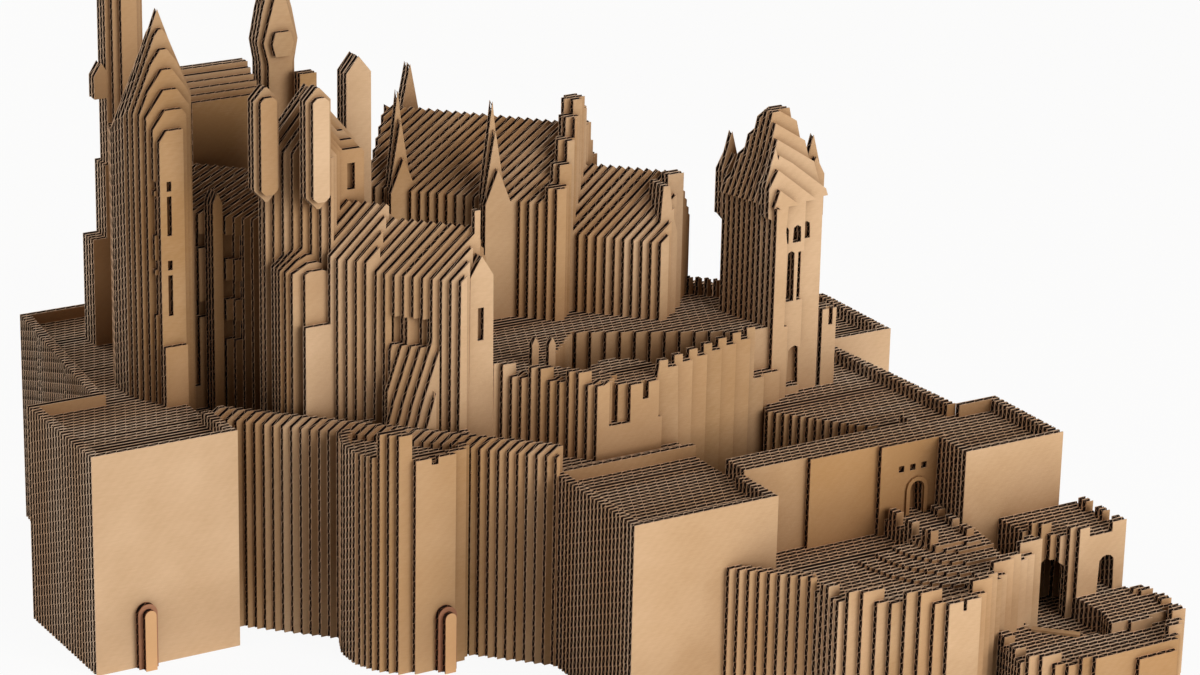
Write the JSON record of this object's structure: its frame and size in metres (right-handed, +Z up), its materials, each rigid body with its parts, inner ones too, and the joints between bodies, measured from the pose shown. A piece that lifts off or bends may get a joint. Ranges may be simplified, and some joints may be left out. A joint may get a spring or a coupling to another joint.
{
  "type": "cardboard castle",
  "caption": "Layered castle of upright corrugated cardboard boards with stepped walls, terraces, courts, gabled towers and a gate tower.",
  "frame": {"origin": "middle of the flat underside that the castle stands on", "axes": "+X along the boards to the right, +Y from the front ward to the back wall, +Z up"},
  "size_m": [0.56, 0.568, 0.39],
  "materials": {
    "kraft_board": "matte",
    "red_brown_board": "matte"
  },
  "bodies": {
    "root": {"bastion_buttress": "red_brown_board", "boards_001_to_003": "kraft_board", "boards_004_to_006": "kraft_board", "boards_007_to_009": "kraft_board", "boards_010_to_012": "kraft_board", "boards_013_to_015": "kraft_board", "boards_016_to_018": "kraft_board", "boards_019_to_021": "kraft_board", "boards_022_to_024": "kraft_board", "boards_025_to_027": "kraft_board", "boards_028_to_030": "kraft_board", "boards_031_to_033": "kraft_board", "boards_034_to_036": "kraft_board", "boards_037_to_039": "kraft_board", "boards_040_to_042": "kraft_board", "boards_043_to_045": "kraft_board", "boards_046_to_048": "kraft_board", "boards_049_to_051": "kraft_board", "boards_052_to_054": "kraft_board", "boards_055_to_057": "kraft_board", "boards_058_to_060": "kraft_board", "boards_061_to_063": "kraft_board", "boards_064_to_066": "kraft_board", "boards_067_to_069": "kraft_board", "boards_070_to_072": "kraft_board", "boards_073_to_075": "kraft_board", "boards_076_to_078": "kraft_board", "boards_079_to_081": "kraft_board", "boards_082_to_084": "kraft_board", "boards_085_to_087": "kraft_board", "boards_088_to_090": "kraft_board", "boards_091_to_093": "kraft_board", "boards_094_to_096": "kraft_board", "boards_097_to_099": "kraft_board", "boards_100_to_102": "kraft_board", "boards_103_to_105": "kraft_board", "boards_106_to_108": "kraft_board", "boards_109_to_111": "kraft_board", "boards_112_to_114": "kraft_board", "boards_115_to_117": "kraft_board", "boards_118_to_120": "kraft_board", "boards_121_to_123": "kraft_board", "boards_124_to_126": "kraft_board", "boards_127_to_129": "kraft_board", "boards_130_to_132": "kraft_board", "boards_133_to_135": "kraft_board", "boards_136_to_138": "kraft_board", "boards_139_to_141": "kraft_board", "boards_142_to_142": "kraft_board", "curtain_door_frame": "kraft_board", "low_bastion_plank": "kraft_board", "round_tower_buttress": "red_brown_board"}
  },
  "joints": []
}
